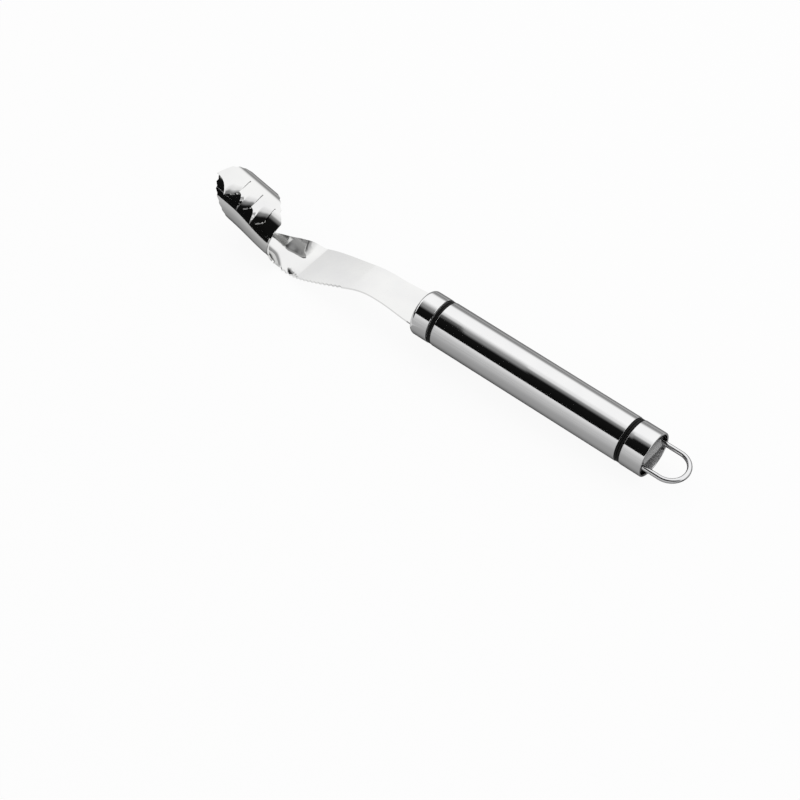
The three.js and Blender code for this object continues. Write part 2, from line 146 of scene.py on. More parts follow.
FRONT_RING_X = FRONT_CAP_LENGTH
SLEEVE_X = FRONT_RING_X + RING_WIDTH
REAR_RING_X = SLEEVE_X + SLEEVE_LENGTH
REAR_CAP_X = REAR_RING_X + RING_WIDTH
TAIL_X = REAR_CAP_X + REAR_CAP_LENGTH
BORE_RADIUS = HANDLE_RADIUS - SLEEVE_WALL
PLUG_RADIUS = BORE_RADIUS - SEAT_GAP
RECESS_FLOOR_X = TAIL_X - RECESS_DEPTH
PIVOT_X = TAIL_X - PIVOT_DEPTH
LOOP_HALF_SPAN = BORE_RADIUS - LOOP_SIDE_GAP - WIRE_RADIUS

# Small rounds, grooves and overlaps of the visible pieces, in millimetres
BLADE_ROUND = 0.1
CAP_EDGE = 0.12
SLEEVE_EDGE = 0.15
RECESS_LIP = 0.2
PLUG_EDGE = 0.25
LUG_ROUND = 0.3
LUG_ROOT = 1.0
WIRE_FILLET = 0.25
RING_BEAD = 0.3
GROOVE_HALF_WIDTH = 0.14
GROOVE_ROUND = 0.1
GROOVE_DEPTH = 0.28
CUTTER_MARGIN = 1.0

# How finely the visible pieces are drawn
FINE = 3
PLAIN_ROWS = 33
TURNED_SIDES = 144
LUG_STEPS = 32
BORE_SIDES = 48
WIRE_SIDES = 28
LOOP_CORNER_STEPS = 8
LOOP_LEG_STEPS = 6
LOOP_BOW_STEPS = 24
WELD_DISTANCE = 1e-7

# Edges sharper than these angles, in degrees, stay sharp or get a round
SHARP = 35.0
TURNED_SHARP = 30.0
WIRE_SHARP = 40.0
BEVEL_SHARP = 40.0

# Camera fitted to the photograph: lens and sensor in mm, turn, height, and the handle front's place in mm
LENS = 103.5
SENSOR_WIDTH = 36
CAMERA_TURN = math.radians(38.955)
CAMERA_HEIGHT = math.radians(49.775)
FRONT_IN_CAMERA = Vector((8.62, 32.63, -842.72))


def mix(low, high, share):
    return low + (high - low) * share


def clamp(value):
    return min(1.0, max(0.0, value))


def smoothstep(value, low, high):
    share = clamp((value - low) / (high - low))
    return share * share * (3 - 2 * share)


# Centre line of the blade, as straight runs and bends
def bend_drop(radius, start, end):
    return radius * abs(math.cos(start) - math.cos(end))


def bend_run(radius, start, end):
    return radius * abs(math.sin(start) - math.sin(end))


def steep_run(tilt):
    bends = bend_drop(UPPER_BEND_RADIUS, 0, NECK_SLOPE) + bend_drop(LOWER_BEND_RADIUS, NECK_SLOPE, tilt)
    return (NECK_DROP - bends) / math.sin(NECK_SLOPE)


def rest_angle():
    tilt = 0.0
    for _ in range(12):
        flat_x = -(
            NECK_STRAIGHT
            + bend_run(UPPER_BEND_RADIUS, 0, NECK_SLOPE)
            + steep_run(tilt) * math.cos(NECK_SLOPE)
            + bend_run(LOWER_BEND_RADIUS, NECK_SLOPE, tilt)
        )
        under_x = flat_x + (SHEET / 2) * math.sin(tilt)
        under_z = -NECK_DROP - (SHEET / 2) * math.cos(tilt)
        tilt = math.atan2(-HANDLE_RADIUS - under_z, TAIL_X - REAR_RIM_FILLET - under_x)
    return tilt


REST_TILT = rest_angle()
SPINE_RUNS = [
    (NECK_STRAIGHT, 0.0),
    (UPPER_BEND_RADIUS * NECK_SLOPE, -NECK_SLOPE),
    (steep_run(REST_TILT), 0.0),
    (LOWER_BEND_RADIUS * (NECK_SLOPE - REST_TILT), NECK_SLOPE - REST_TILT),
    (REST_LENGTH, 0.0),
    (HEAD_BEND_RADIUS * (HEAD_TILT + REST_TILT), HEAD_TILT + REST_TILT),
    (2 * (TIP_LOW + TIP_RISE), 0.0),
]
HEAD_STATION = sum(length for length, _ in SPINE_RUNS[:5]) + THROAT_LENGTH

# The tool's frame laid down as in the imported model: the loop's pivot sits at its joint
PIVOT = Vector(frame["joints"][0]["pos_m"])
TILT = Matrix.Rotation(REST_TILT, 4, "Y")
PLACE = Matrix.Translation(PIVOT) @ TILT @ Matrix.Scale(MM, 4) @ Matrix.Translation((-PIVOT_X, 0, 0))


def spine_at(station):
    x, z, heading = 0.0, 0.0, 0.0
    left = station
    for length, turn in SPINE_RUNS:
        step = station if station < 0 else min(left, length)
        angle = turn * step / length
        middle = heading + angle / 2
        chord = step if angle == 0 else (2 * step / angle) * math.sin(angle / 2)
        x -= chord * math.cos(middle)
        z += chord * math.sin(middle)
        heading += angle
        left -= step
        if station < 0 or left <= 0:
            break
    return x, z, heading


def curl_at(reach, across):
    """The cross section: flat width, radius and turn of a curl, its swell, and the flat width after it."""
    width = abs(across)
    if across > far_width(HEAD_STATION + reach) + TINY:
        turn = width / HEAD_RADIUS
        return 0.0, HEAD_RADIUS, turn, LAP_GROWTH * smoothstep(turn, LAP_START, LAP_END), 0.0
    if across > 0:
        radius = mix(FOLD_RADIUS, HEAD_RADIUS, smoothstep(reach, 0, FOLD_END))
        turn = min(width / radius, FOLD_ANGLE * smoothstep(reach, FOLD_START, FOLD_FULL))
        return 0.0, radius, turn, 0.0, width - turn * radius
    before = min(width, CURL_HALF_WIDTH * (1 - smoothstep(reach, NEAR_CURL_START, NEAR_CURL_END)))
    turn = (width - before) / HEAD_RADIUS
    bulge = smoothstep(reach, NEAR_START, SWELL_TOP) * (1 - smoothstep(reach, SWELL_TOP, SWELL_END))
    return before, HEAD_RADIUS, turn, SWELL_HEIGHT * bulge * math.sin(turn) ** 4, 0.0


def sheet_at(reach, across):
    """A point of the sheet's middle surface and its inward normal."""
    x, z, heading = spine_at(HEAD_STATION + reach)
    before, radius, turn, swell, after = curl_at(reach, across)
    side = 1 if across > 0 else -1
    up = Vector((math.sin(heading), 0, math.cos(heading)))
    y = side * (before + (radius + swell) * math.sin(turn) + after * math.cos(turn))
    rise = radius - (radius + swell) * math.cos(turn) + after * math.sin(turn)
    point = Vector((x, y, z)) + up * rise
    normal = up * math.cos(turn)
    normal.y = -side * math.sin(turn)
    return point, normal


def seam_at(index):
    return SEAM_START + index * SEAM_DRIFT


def tip_edge(across):
    return TIP_LOW + TIP_RISE * ((1 + math.cos(across / HEAD_RADIUS - TIP_TOP)) / 2) ** 2


def far_edge(across):
    share = clamp((across - SLANT_START) / (seam_at(TOOTH_COUNT) - SLANT_START))
    return NOTCH_DEPTH - FAR_DROP * share**FAR_HOLLOW


def near_edge(across):
    share = clamp((-across - NEAR_ROOT) / (NEAR_WRAP - NEAR_ROOT))
    sweep = mix(NEAR_START, NEAR_LEVEL, 1 - (1 - share) ** NEAR_HOLLOW)
    return sweep + NEAR_RISE * smoothstep(-across, NEAR_RISE_START, NEAR_WRAP)


def flared_width(station):
    waist = mix(ROOT_HALF_WIDTH, WAIST_HALF_WIDTH, smoothstep(station, 0, WAIST_DISTANCE))
    return waist + (NECK_HALF_WIDTH - WAIST_HALF_WIDTH) * smoothstep(station, FLARE_START, FLARE_END)


def near_width(station):
    return mix(flared_width(station), NEAR_ROOT, smoothstep(station, FLARE_END, HEAD_STATION + NEAR_START))


def far_width(station):
    taper = clamp((station - HEAD_STATION - TAPER_START) / (TAPER_END - TAPER_START))
    return mix(flared_width(station), NOTCH_HALF_WIDTH, taper**TAPER_HOLLOW)


def even(span):
    return 2 * max(1, round(span / SERRATION_PITCH))


def nick(place):
    """Depth of the fine serrations: sharp valleys at odd places, points at even ones."""
    return SERRATION_DEPTH * (1 - abs(place % 2 - 1))


def refined(values, count):
    steps = [mix(a, b, i / count) for a, b in zip(values, values[1:]) for i in range(count)]
    return steps + [values[-1]]


def flaps():
    def shifted(corner, step):
        return (corner[0] + step, corner[1])

    low_mouth = seam_at(TOOTH_COUNT)
    tip_mouth = seam_at(0)
    low_root = low_mouth - SLIT_LENGTH
    tip_root = tip_mouth - SLIT_LENGTH
    sides = [((far_edge(low_root), low_root), (far_edge(low_mouth), low_mouth))]
    for i in reversed(range(TOOTH_COUNT)):
        reach = FIRST_SLIT - i * TOOTH_PITCH
        sides.append(((reach + SLIT_LEAN, seam_at(i) - SLIT_LENGTH), (reach, seam_at(i))))
    sides.append(((tip_edge(tip_root), tip_root), (tip_edge(tip_mouth), tip_mouth)))
    made = []
    for i, (low, high) in enumerate(zip(sides, sides[1:])):
        below = SLIT_WIDTH / 2 if i > 0 else 0
        above = -SLIT_WIDTH / 2 if i + 2 < len(sides) else 0
        point = (low[1][0] + TOOTH_TIP * TOOTH_PITCH, low[1][1] + TOOTH_HEIGHT) if i > 0 else None
        made.append(
            {
                "low_root": shifted(low[0], below),
                "low_mouth": shifted(low[1], below),
                "high_root": shifted(high[0], above),
                "high_mouth": shifted(high[1], above),
                "point": point,
            }
        )
    return made


def flap_edge(flap, share):
    low, high, point = flap["low_mouth"], flap["high_mouth"], flap["point"]
    if not point:
        return (mix(low[0], high[0], share), mix(low[1], high[1], share))
    if share <= TOOTH_TIP:
        part = share / TOOTH_TIP
        return (mix(low[0], point[0], part), mix(low[1], point[1], part))
    part = (share - TOOTH_TIP) / (1 - TOOTH_TIP)
    return (mix(point[0], high[0], part), mix(high[1], point[1], (1 - part) ** 3))


def blade_quads():
    """Corners of the blade's middle surface as (reach, across, lift outwards)."""
    quads = []

    def grid(rows, columns, corner):
        cells = [[corner(i, j) for j in range(columns + 1)] for i in range(rows + 1)]
        for i in range(rows):
            for j in range(columns):
                quads.append((cells[i][j], cells[i + 1][j], cells[i + 1][j + 1], cells[i][j + 1]))

    lapped = flaps()
    shares = refined([0, TOOTH_TIP / 4, TOOTH_TIP / 2, TOOTH_TIP, mix(TOOTH_TIP, 1, 0.4), 1], FINE)
    base = [
        tuple(mix(flap["low_root"][k], flap["high_root"][k], share) for k in (0, 1))
        for flap in lapped
        for share in shares
    ]
    spread = [(reach - base[0][0]) / (base[-1][0] - base[0][0]) for reach, _ in base]
    head_rows = len(base) - 1
    near_half, far_half = even(NEAR_ROOT) * FINE, 2 * even(NOTCH_HALF_WIDTH) * FINE
    bottom_columns = near_half + far_half
    near_columns = even(NEAR_WRAP - NEAR_ROOT) * FINE
    far_columns = even(base[0][1] - NOTCH_HALF_WIDTH) * FINE

    throat = HEAD_STATION + NEAR_START
    tang_end = -(TANG_SHOULDER + TANG_LENGTH)
    plain = [tang_end, -TANG_SHOULDER - 1, 0.0] + [
        SERRATED_START * i / PLAIN_ROWS for i in range(1, PLAIN_ROWS)
    ]
    serrated_count = even(throat - SERRATED_START) * FINE
    stations = plain + [mix(SERRATED_START, throat, i / serrated_count) for i in range(serrated_count + 1)]

    def bottom_at(near, far, j):
        if j < near_half:
            return mix(near, 0.0, j / near_half)
        return mix(0.0, far, (j - near_half) / far_half)

    def strip(i, j):
        station = max(0.0, stations[i])
        cut = nick((i - len(plain)) / FINE) if i > len(plain) else 0.0
        near = cut - near_width(station)
        return (stations[i] - HEAD_STATION, bottom_at(near, far_width(station), j), 0.0)

    grid(len(stations) - 1, bottom_columns, strip)

    floor = refined([NEAR_START, -THROAT_LENGTH, 0.0, TAPER_END, NOTCH_DEPTH], 2 * FINE)
    floor_rows = len(floor) - 1

    def floor_low(i, j):
        return (floor[i], bottom_at(-NEAR_ROOT, far_width(HEAD_STATION + floor[i]), j), 0.0)

    def floor_high(i, j):
        across = bottom_at(-NEAR_ROOT, NOTCH_HALF_WIDTH, j)
        return (mix(NOTCH_DEPTH, tip_edge(across) - nick(j / FINE), spread[i]), across, 0.0)

    grid(floor_rows, bottom_columns, floor_low)
    grid(head_rows, bottom_columns, floor_high)

    root_tip = tip_edge(-NEAR_ROOT)

    def near_wall(i, j):
        across = mix(-NEAR_ROOT, -NEAR_WRAP, j / near_columns)
        reach = floor[i] if i < floor_rows else mix(NOTCH_DEPTH, root_tip, spread[i - floor_rows])
        share = (reach - NEAR_START) / (root_tip - NEAR_START)
        cut = nick(j / FINE)
        return (mix(near_edge(across) + cut, tip_edge(across) - cut, share), across, 0.0)

    grid(floor_rows + head_rows, near_columns, near_wall)

    root_spread = [
        (reach - far_edge(across)) / (tip_edge(across) - far_edge(across)) for reach, across in base
    ]

    def far_wall(i, j):
        share = j / far_columns
        across = mix(NOTCH_HALF_WIDTH, base[i][1], share)
        low, high = far_edge(across) + nick(j / FINE), tip_edge(across) - nick(j / FINE)
        return (mix(low, high, mix(spread[i], root_spread[i], share)), across, 0.0)

    grid(head_rows, far_columns, far_wall)

    flap_columns = 3 * FINE
    for index, flap in enumerate(lapped):
        first = index * len(shares)

        def flap_at(i, j, index=index, flap=flap, first=first):
            share = j / flap_columns
            root = far_wall(first + i, far_columns)
            edge = flap_edge(flap, shares[i])
            twist = smoothstep(shares[i], 0, TOOTH_TWIST)
            lift = TOOTH_SET * mix(TOOTH_SET_LOW, 1, twist) if index > 0 else 0.0
            return (mix(root[0], edge[0], share), mix(root[1], edge[1], share), lift * share**2)

        grid(len(shares) - 1, flap_columns, flap_at)
    return quads


def new_piece(name, points, faces):
    """A mesh piece in the row frame, from points in the tool's frame."""
    mesh = bpy.data.meshes.new(name)
    mesh.from_pydata([PLACE @ Vector(p) for p in points], [], faces)
    mesh.validate()
    piece = bpy.data.objects.new(name, mesh)
    bpy.context.scene.collection.objects.link(piece)
    return piece


def settle(piece, sharp=SHARP):
    """Outward normals, smooth faces and sharp edges."""
    made = bmesh.new()
    made.from_mesh(piece.data)
    bmesh.ops.remove_doubles(made, verts=made.verts, dist=WELD_DISTANCE)
    bmesh.ops.recalc_face_normals(made, faces=made.faces)
    made.to_mesh(piece.data)
    made.free()
    piece.data.shade_smooth()
    piece.data.set_sharp_from_angle(angle=math.radians(sharp))


def bevelled(piece, width, segments=2):
    """A small round on the piece's sharp edges."""
    bevel = piece.modifiers.new("edge_round", "BEVEL")
    bevel.width = width * MM
    bevel.segments = segments
    bevel.limit_method = "ANGLE"
    bevel.angle_limit = math.radians(BEVEL_SHARP)
    bevel.use_clamp_overlap = True
    bevel.harden_normals = True


def applied(piece):
    """The piece's mesh with its modifiers made real."""
    graph = bpy.context.evaluated_depsgraph_get()
    mesh = bpy.data.meshes.new_from_object(piece.evaluated_get(graph))
    piece.modifiers.clear()
    piece.data = mesh


def cut_with(piece, *tools):
    for tool in tools:
        step = piece.modifiers.new("cut", "BOOLEAN")
        step.operation = "DIFFERENCE"
        step.solver = "EXACT"
        step.object = tool
    bpy.context.view_layer.update()
    applied(piece)
    for tool in tools:
        bpy.data.objects.remove(tool)


def block(x_low, x_high, y_low, y_high, z_low, z_high):
    corners = [(x, y, z) for x in (x_low, x_high) for y in (y_low, y_high) for z in (z_low, z_high)]
    faces = [(0, 1, 3, 2), (4, 6, 7, 5), (0, 4, 5, 1), (2, 3, 7, 6), (0, 2, 6, 4), (1, 5, 7, 3)]
    return new_piece("cutter", corners, faces)


def round_edge(x, radius, fillet, start, end, steps):
    """Corners of a rounded edge, whose middle is at x and radius."""
    angles = [mix(start, end, i / steps) for i in range(steps + 1)]
    return [(x + fillet * math.cos(a), radius + fillet * math.sin(a)) for a in angles]


def front_round(x, radius, fillet, steps):
    """The outer edge where a turned piece begins."""
    return round_edge(x + fillet, radius - fillet, fillet, math.pi, QUARTER, steps)


def rear_round(x, radius, fillet, steps):
    """The outer edge where a turned piece ends."""
    return round_edge(x - fillet, radius - fillet, fillet, QUARTER, 0, steps)


def turned(name, profile):
    """A piece turned about X from a closed run of (x, radius) corners. A corner on the axis is one point."""
    points, rings, sides = [], [], TURNED_SIDES
    for x, radius in profile:
        if radius < TINY:
            rings.append([len(points)] * sides)
            points.append((x, 0, 0))
            continue
        rings.append([len(points) + i for i in range(sides)])
        for i in range(sides):
            angle = 2 * math.pi * i / sides
            points.append((x, radius * math.sin(angle), radius * math.cos(angle)))
    faces = []
    for low, high in zip(rings, rings[1:] + rings[:1]):
        for i in range(sides):
            j = (i + 1) % sides
            corners = list(dict.fromkeys((low[i], low[j], high[j], high[i])))
            if len(corners) > 2:
                faces.append(corners)
    piece = new_piece(name, points, faces)
    settle(piece, TURNED_SHARP)
    return piece


def prism(name, outline, half_width):
    """A piece with a closed (x, z) outline that reaches as far to both sides of the tool's middle."""
    count = len(outline)
    points = [(x, side * half_width, z) for side in (-1, 1) for x, z in outline]
    faces = [list(range(count)), list(range(2 * count - 1, count - 1, -1))]
    faces += [[i, count + i, count + (i + 1) % count, (i + 1) % count] for i in range(count)]
    piece = new_piece(name, points, faces)
    settle(piece)
    return piece


def make_blade():
    """The sheet's two sides and its rim, where a quad has no neighbour, with the tang cut narrower."""
    points, faces, known, edges = [], [], {}, {}

    def vertex(corner):
        reach, across, lift = corner
        key = (round(reach, 3), round(across, 3))
        if key not in known:
            point, normal = sheet_at(reach, across)
            known[key] = len(points)
            points.append(point + normal * (SHEET / 2 - lift))
            points.append(point - normal * (SHEET / 2 + lift))
        return known[key]

    for corners in blade_quads():
        area = sum(a[0] * b[1] - b[0] * a[1] for a, b in zip(corners, corners[1:] + corners[:1]))
        ring = [vertex(c) for c in (corners if area < 0 else corners[::-1])]
        ring = list(dict.fromkeys(ring))
        if len(ring) < 3:
            continue
        faces.append(ring)
        faces.append([v + 1 for v in reversed(ring)])
        for a, b in zip(ring, ring[1:] + ring[:1]):
            if (b, a) in edges:
                del edges[(b, a)]
            else:
                edges[(a, b)] = True
    for a, b in edges:
        faces.append([a, a + 1, b + 1, b])
    piece = new_piece("blade", points, faces)
    settle(piece)
    beside = ROOT_HALF_WIDTH + CUTTER_MARGIN
    far = TANG_SHOULDER + TANG_LENGTH + CUTTER_MARGIN
    cut_with(
        piece,
        block(TANG_SHOULDER, far, TANG_HALF_WIDTH, beside, -SHEET, SHEET),
        block(TANG_SHOULDER, far, -beside, -TANG_HALF_WIDTH, -SHEET, SHEET),
    )
    settle(piece)
    bevelled(piece, BLADE_ROUND)
    return piece


def make_front_cap():
    back = FRONT_CAP_LENGTH - SEAT_GAP
    outside = FRONT_CAP_FILLET
    inside = FRONT_CAP_FILLET - SLEEVE_WALL
    profile = [
        (back, BORE_RADIUS),
        (back, HANDLE_RADIUS - CAP_EDGE),
        (back - CAP_EDGE, HANDLE_RADIUS),
        *round_edge(FRONT_CAP_FILLET, HANDLE_RADIUS - outside, outside, QUARTER, math.pi, 12),
        (0, 0),
        (SLEEVE_WALL, 0),
        *round_edge(FRONT_CAP_FILLET, BORE_RADIUS - inside, inside, math.pi, QUARTER, 8),
    ]
    piece = turned("front_cap_shell", profile)
    half_y = ROOT_HALF_WIDTH + SEAT_GAP
    half_z = SHEET / 2 + SEAT_GAP
    slot_end = FRONT_CAP_FILLET + SEAT_GAP
    cut_with(piece, block(-CUTTER_MARGIN, slot_end, -half_y, half_y, -half_z, half_z))
    settle(piece, TURNED_SHARP)
    return piece


def make_ring(name, x):
    """A dark band of two round beads with a fine groove between them."""
    low, high = x + SEAT_GAP / 2, x + RING_WIDTH - SEAT_GAP / 2
    middle, outer = (low + high) / 2, HANDLE_RADIUS - RING_RECESS
    groove, fillet, slope = GROOVE_HALF_WIDTH, GROOVE_ROUND, 0.2
    profile = [
        (low, BORE_RADIUS),
        *front_round(low, outer, RING_BEAD, 5),
        *round_edge(middle - groove - fillet, outer - fillet, fillet, QUARTER, slope, 3),
        (middle, outer - GROOVE_DEPTH),
        *round_edge(middle + groove + fillet, outer - fillet, fillet, math.pi - slope, QUARTER, 3),
        *rear_round(high, outer, RING_BEAD, 5),
        (high, BORE_RADIUS),
    ]
    return turned(name, profile)


def make_sleeve():
    profile = [
        (SLEEVE_X, BORE_RADIUS),
        *front_round(SLEEVE_X, HANDLE_RADIUS, SLEEVE_EDGE, 4),
        *rear_round(REAR_RING_X, HANDLE_RADIUS, SLEEVE_EDGE, 4),
        (REAR_RING_X, BORE_RADIUS),
    ]
    return turned("sleeve_tube", profile)


def make_rear_cap():
    low = REAR_CAP_X + SEAT_GAP
    profile = [
        (low, BORE_RADIUS),
        *front_round(low, HANDLE_RADIUS, CAP_EDGE, 4),
        *rear_round(TAIL_X, HANDLE_RADIUS, REAR_RIM_FILLET, 8),
        *round_edge(TAIL_X - RECESS_LIP, BORE_RADIUS + RECESS_LIP, RECESS_LIP, 0, -QUARTER, 5),
    ]
    return turned("rear_cap_shell", profile)


def make_plug_body():
    low = REAR_RING_X - PLUG_GRIP
    profile = [
        (low, 0),
        *front_round(low, PLUG_RADIUS, PLUG_EDGE, 3),
        *rear_round(RECESS_FLOOR_X, PLUG_RADIUS, PLUG_EDGE, 3),
        (RECESS_FLOOR_X, 0),
    ]
    return turned("rear_plug_body", profile)


def make_plug_lug():
    """The tongue in the tail recess, with a cross bore for the wire's ends."""
    bore = WIRE_RADIUS + RUNNING_GAP
    radius = bore + LUG_WALL
    half_width = LOOP_HALF_SPAN - WIRE_RADIUS - SEAT_GAP
    root_x = RECESS_FLOOR_X - LUG_ROOT
    angles = [math.pi * i / LUG_STEPS for i in range(LUG_STEPS + 1)]
    nose = [(PIVOT_X + radius * math.sin(a), -radius * math.cos(a)) for a in angles]
    lug = prism("rear_plug_lug", [(root_x, -radius), *nose, (root_x, radius)], half_width)
    angles = [2 * math.pi * i / BORE_SIDES for i in range(BORE_SIDES)]
    circle = [(PIVOT_X + bore * math.cos(a), bore * math.sin(a)) for a in angles]
    cut_with(lug, prism("cutter", circle, half_width + CUTTER_MARGIN))
    settle(lug)
    bevelled(lug, LUG_ROUND, 3)
    return lug


def loop_path():
    """Middle line of the bent wire, from one end in the lug round to the other."""
    corner, span = LOOP_CORNER_RADIUS, LOOP_HALF_SPAN
    end_x = TAIL_X + LOOP_REACH - WIRE_RADIUS - span
    half = [Vector((PIVOT_X, -LOOP_INSET, 0)), Vector((PIVOT_X, corner - span, 0))]
    for i in range(1, LOOP_CORNER_STEPS + 1):
        angle = QUARTER * i / LOOP_CORNER_STEPS
        half.append(
            Vector((PIVOT_X + corner * (1 - math.cos(angle)), -span + corner * (1 - math.sin(angle)), 0))
        )
    for i in range(1, LOOP_LEG_STEPS + 1):
        half.append(Vector((mix(PIVOT_X + corner, end_x, i / LOOP_LEG_STEPS), -span, 0)))
    for i in range(1, LOOP_BOW_STEPS + 1):
        angle = QUARTER * i / LOOP_BOW_STEPS
        half.append(Vector((end_x + span * math.sin(angle), -span * math.cos(angle), 0)))
    return half + [Vector((p.x, -p.y, 0)) for p in reversed(half[:-1])]


def make_loop():
    path, sides, fillet = loop_path(), WIRE_SIDES, WIRE_FILLET
    points, rings = [], []
    # Shares of the fillet, along the wire and in from its surface
    end_steps = [(0.0, 1.0), (0.3, 0.3), (1.0, 0.0)]

    def ring(centre, along, radius):
        level = along.cross(Vector((0, 0, 1))).normalized()
        rings.append([len(points) + i for i in range(sides)])
        for i in range(sides):
            angle = 2 * math.pi * i / sides
            points.append(centre + radius * (level * math.cos(angle) + Vector((0, 0, math.sin(angle)))))

    first = (path[1] - path[0]).normalized()
    last = (path[-1] - path[-2]).normalized()
    for onward, inward in end_steps:
        ring(path[0] + first * fillet * onward, first, WIRE_RADIUS - fillet * inward)
    for before, here, after in zip(path, path[1:], path[2:]):
        ring(here, ((here - before).normalized() + (after - here).normalized()).normalized(), WIRE_RADIUS)
    for onward, inward in reversed(end_steps):
        ring(path[-1] - last * fillet * onward, last, WIRE_RADIUS - fillet * inward)
    faces = [
        [a[i], a[(i + 1) % sides], b[(i + 1) % sides], b[i]]
        for a, b in zip(rings, rings[1:])
        for i in range(sides)
    ]
    faces += [rings[0][::-1], rings[-1]]
    piece = new_piece("wire_loop", points, faces)
    settle(piece, WIRE_SHARP)
    return piece


# Materials. Noise lies mostly between these two values
NOISE_LOW = 0.3
NOISE_HIGH = 0.7
EVEN = (1, 1, 1)


def shader(name):
    material = bpy.data.materials.new(name)
    material.use_nodes = True
    nodes = material.node_tree.nodes
    return material, nodes, material.node_tree.links, nodes["Principled BSDF"]


def noise(nodes, links, scale, stretch, detail):
    """Noise over the piece's own coordinates, stretched along the tool's axes."""
    place = nodes.new("ShaderNodeTexCoord")
    fit = nodes.new("ShaderNodeMapping")
    fit.inputs["Rotation"].default_value = (0, -REST_TILT, 0)
    fit.inputs["Scale"].default_value = stretch
    texture = nodes.new("ShaderNodeTexNoise")
    texture.inputs["Scale"].default_value = scale
    texture.inputs["Detail"].default_value = detail
    links.new(place.outputs["Object"], fit.inputs["Vector"])
    links.new(fit.outputs["Vector"], texture.inputs["Vector"])
    return texture.outputs["Fac"]


def ranged(nodes, links, value, low, high):
    fit = nodes.new("ShaderNodeMapRange")
    fit.inputs["From Min"].default_value = NOISE_LOW
    fit.inputs["From Max"].default_value = NOISE_HIGH
    fit.inputs["To Min"].default_value = low
    fit.inputs["To Max"].default_value = high
    links.new(value, fit.inputs["Value"])
    return fit.outputs["Result"]


def tinted(nodes, links, value, low, high):
    ramp = nodes.new("ShaderNodeValToRGB")
    ramp.color_ramp.elements[0].position = NOISE_LOW
    ramp.color_ramp.elements[0].color = (*low, 1)
    ramp.color_ramp.elements[1].position = NOISE_HIGH
    ramp.color_ramp.elements[1].color = (*high, 1)
    links.new(value, ramp.inputs["Fac"])
    return ramp.outputs["Color"]


def bumped(nodes, links, bsdf, value, strength, distance):
    bump = nodes.new("ShaderNodeBump")
    bump.inputs["Strength"].default_value = strength
    bump.inputs["Distance"].default_value = distance
    links.new(value, bump.inputs["Height"])
    links.new(bump.outputs["Normal"], bsdf.inputs["Normal"])


def steel(name, low, high, rough, stretch, edge):
    """Polished steel: drawn lines in gloss and surface, clouding in colour, darker at a low angle."""
    material, nodes, links, bsdf = shader(name)
    bsdf.inputs["Metallic"].default_value = 1.0
    bsdf.inputs["Specular Tint"].default_value = (edge, edge, edge, 1)
    lines = noise(nodes, links, scale=1.0, stretch=stretch, detail=6.0)
    clouds = noise(nodes, links, scale=90.0, stretch=EVEN, detail=3.0)
    links.new(tinted(nodes, links, clouds, low, high), bsdf.inputs["Base Color"])
    links.new(ranged(nodes, links, lines, *rough), bsdf.inputs["Roughness"])
    bumped(nodes, links, bsdf, lines, strength=0.03, distance=0.00002)
    return material


def moulded(name, low, high, rough, scale, bump):
    """Moulded plastic: fine grain in gloss and surface, slight clouding in colour."""
    material, nodes, links, bsdf = shader(name)
    grain = noise(nodes, links, scale=scale, stretch=EVEN, detail=5.0)
    clouds = noise(nodes, links, scale=260.0, stretch=EVEN, detail=3.0)
    links.new(tinted(nodes, links, clouds, low, high), bsdf.inputs["Base Color"])
    links.new(ranged(nodes, links, grain, *rough), bsdf.inputs["Roughness"])
    bsdf.inputs["Specular IOR Level"].default_value = 0.2
    bumped(nodes, links, bsdf, grain, strength=bump, distance=0.00005)
    return material


blade_steel = steel(
    "blade_steel", (0.86, 0.86, 0.86), (0.91, 0.91, 0.90), (0.05, 0.09), stretch=(60, 900, 900), edge=0.45
)
handle_steel = steel(
    "handle_steel", (0.88, 0.88, 0.885), (0.92, 0.92, 0.92), (0.05, 0.09), stretch=(40, 900, 900), edge=0.4
)
wire_steel = steel(
    "wire_steel", (0.84, 0.84, 0.85), (0.90, 0.90, 0.90), (0.06, 0.12), stretch=(500, 500, 500), edge=0.05
)
pin_steel = steel(
    "pin_steel", (0.66, 0.66, 0.67), (0.72, 0.72, 0.72), (0.2, 0.3), stretch=(900, 40, 900), edge=0.5
)
ring_black = moulded(
    "ring_black", (0.003, 0.003, 0.003), (0.006, 0.006, 0.006), (0.4, 0.5), scale=2600.0, bump=0.1
)
plug_grey = moulded(
    "plug_grey", (0.38, 0.38, 0.385), (0.44, 0.44, 0.44), (0.45, 0.6), scale=1800.0, bump=0.04
)


def dress(piece, material):
    piece.data.materials.clear()
    piece.data.materials.append(material)


def finish_piece(piece, material, slot, body, *nodes):
    dress(piece, material)
    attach(piece, body)
    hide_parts(*nodes)


finish_piece(make_blade(), blade_steel, "blade_steel", "tool", "corer_blade")
finish_piece(make_front_cap(), handle_steel, "handle_steel", "tool", "front_cap")
finish_piece(make_ring("front_band", FRONT_RING_X), ring_black, "ring_black", "tool", "front_ring")
finish_piece(make_sleeve(), handle_steel, "handle_steel", "tool", "handle_sleeve")
finish_piece(make_ring("rear_band", REAR_RING_X), ring_black, "ring_black", "tool", "rear_ring")
finish_piece(make_rear_cap(), handle_steel, "handle_steel", "tool", "rear_cap")
finish_piece(make_plug_body(), plug_grey, "plug_grey", "tool", "rear_plug")
finish_piece(make_plug_lug(), plug_grey, "plug_grey", "tool", "rear_plug")
finish_piece(make_loop(), wire_steel, "wire_steel", "loop", "hanging_loop")
dress(frame["nodes"]["front_plug"], plug_grey)
dress(frame["nodes"]["tang_pin"], pin_steel)

# Studio, in metres: white floor and surround, a soft light overhead, and glowing cards that only the metal
# sees, which paint dark and light reflections into it
FLOOR_HALF_WIDTH = 6.0
FLAG_STEPS = 48
FLAG_AXIS_Z = 0.011
PAINTED_FLOOR_STEPS = 24
PAINTED_FLOOR_WIDTH = 0.4
PAINTED_FLOOR_Z = 0.0003
WORLD_LIGHT = 0.65


